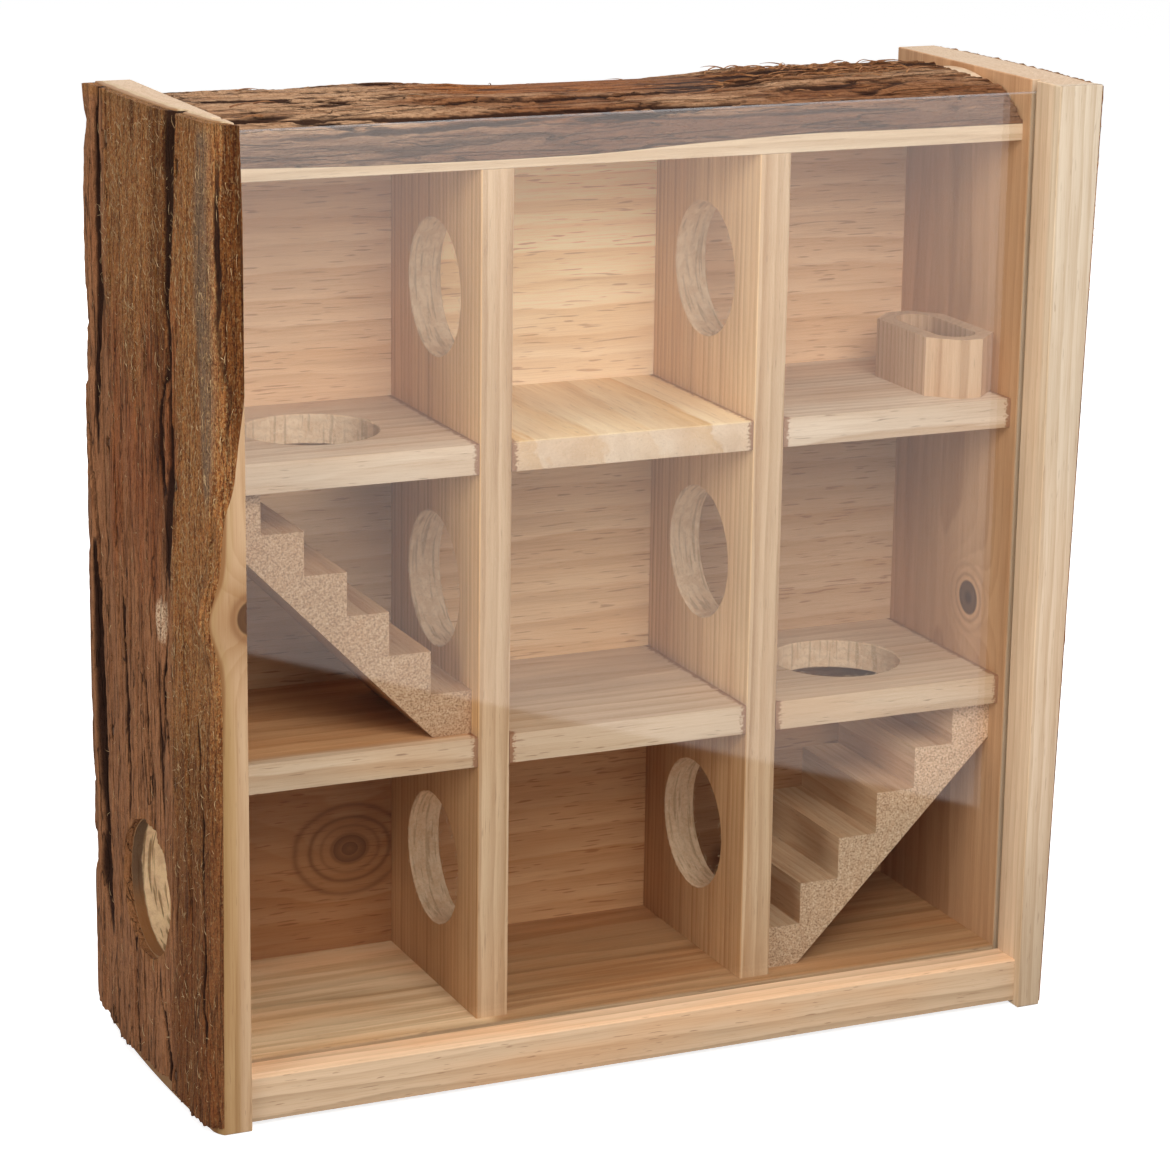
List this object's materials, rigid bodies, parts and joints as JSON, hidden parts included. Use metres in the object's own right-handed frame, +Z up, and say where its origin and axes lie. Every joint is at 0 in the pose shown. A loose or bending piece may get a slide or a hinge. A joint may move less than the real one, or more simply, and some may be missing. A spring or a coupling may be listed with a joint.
{
  "type": "hamster maze",
  "caption": "Upright wooden hamster maze: cells in a grid between bark-edged log slabs, joined by round holes and small stairs, behind a clear pane that lifts out.",
  "frame": {"origin": "on the ground under the middle of the case", "axes": "+Z up, -Y towards the front with the clear pane, +X to the right seen from the front"},
  "size_m": [0.2836, 0.098, 0.2871],
  "materials": {
    "slab_wood": "sawn pine, untreated",
    "bark": "natural bark, rough and fissured",
    "board_wood": "planed pine, untreated",
    "panel_wood": "planed pine with knots, untreated",
    "stair_wood": "sawn pine, untreated",
    "clear_pane": "clear polished acrylic",
    "nail_steel": "bright drawn wire"
  },
  "bodies": {
    "case": {"left_slab": "slab_wood", "left_bark": "bark", "right_slab": "slab_wood", "right_bark": "bark", "top_slab": "slab_wood", "top_bark": "bark", "bottom_board": "board_wood", "back_panel": "panel_wood", "left_divider": "board_wood", "right_divider": "board_wood", "upper_left_shelf": "board_wood", "upper_middle_shelf": "board_wood", "upper_right_shelf": "board_wood", "lower_left_shelf": "board_wood", "lower_middle_shelf": "board_wood", "lower_right_shelf": "board_wood", "left_stairs": "stair_wood", "right_stairs": "stair_wood", "feed_trough": "stair_wood", "left_nails": "nail_steel", "right_nails": "nail_steel", "back_nails": "nail_steel", "bottom_nails": "nail_steel"},
    "pane": {"front_pane": "clear_pane"}
  },
  "joints": [
    {"name": "pane_lift", "type": "slide", "parent": "case", "child": "pane", "axis": [0, 0, 1], "range_m": [0, 0.274]}
  ]
}
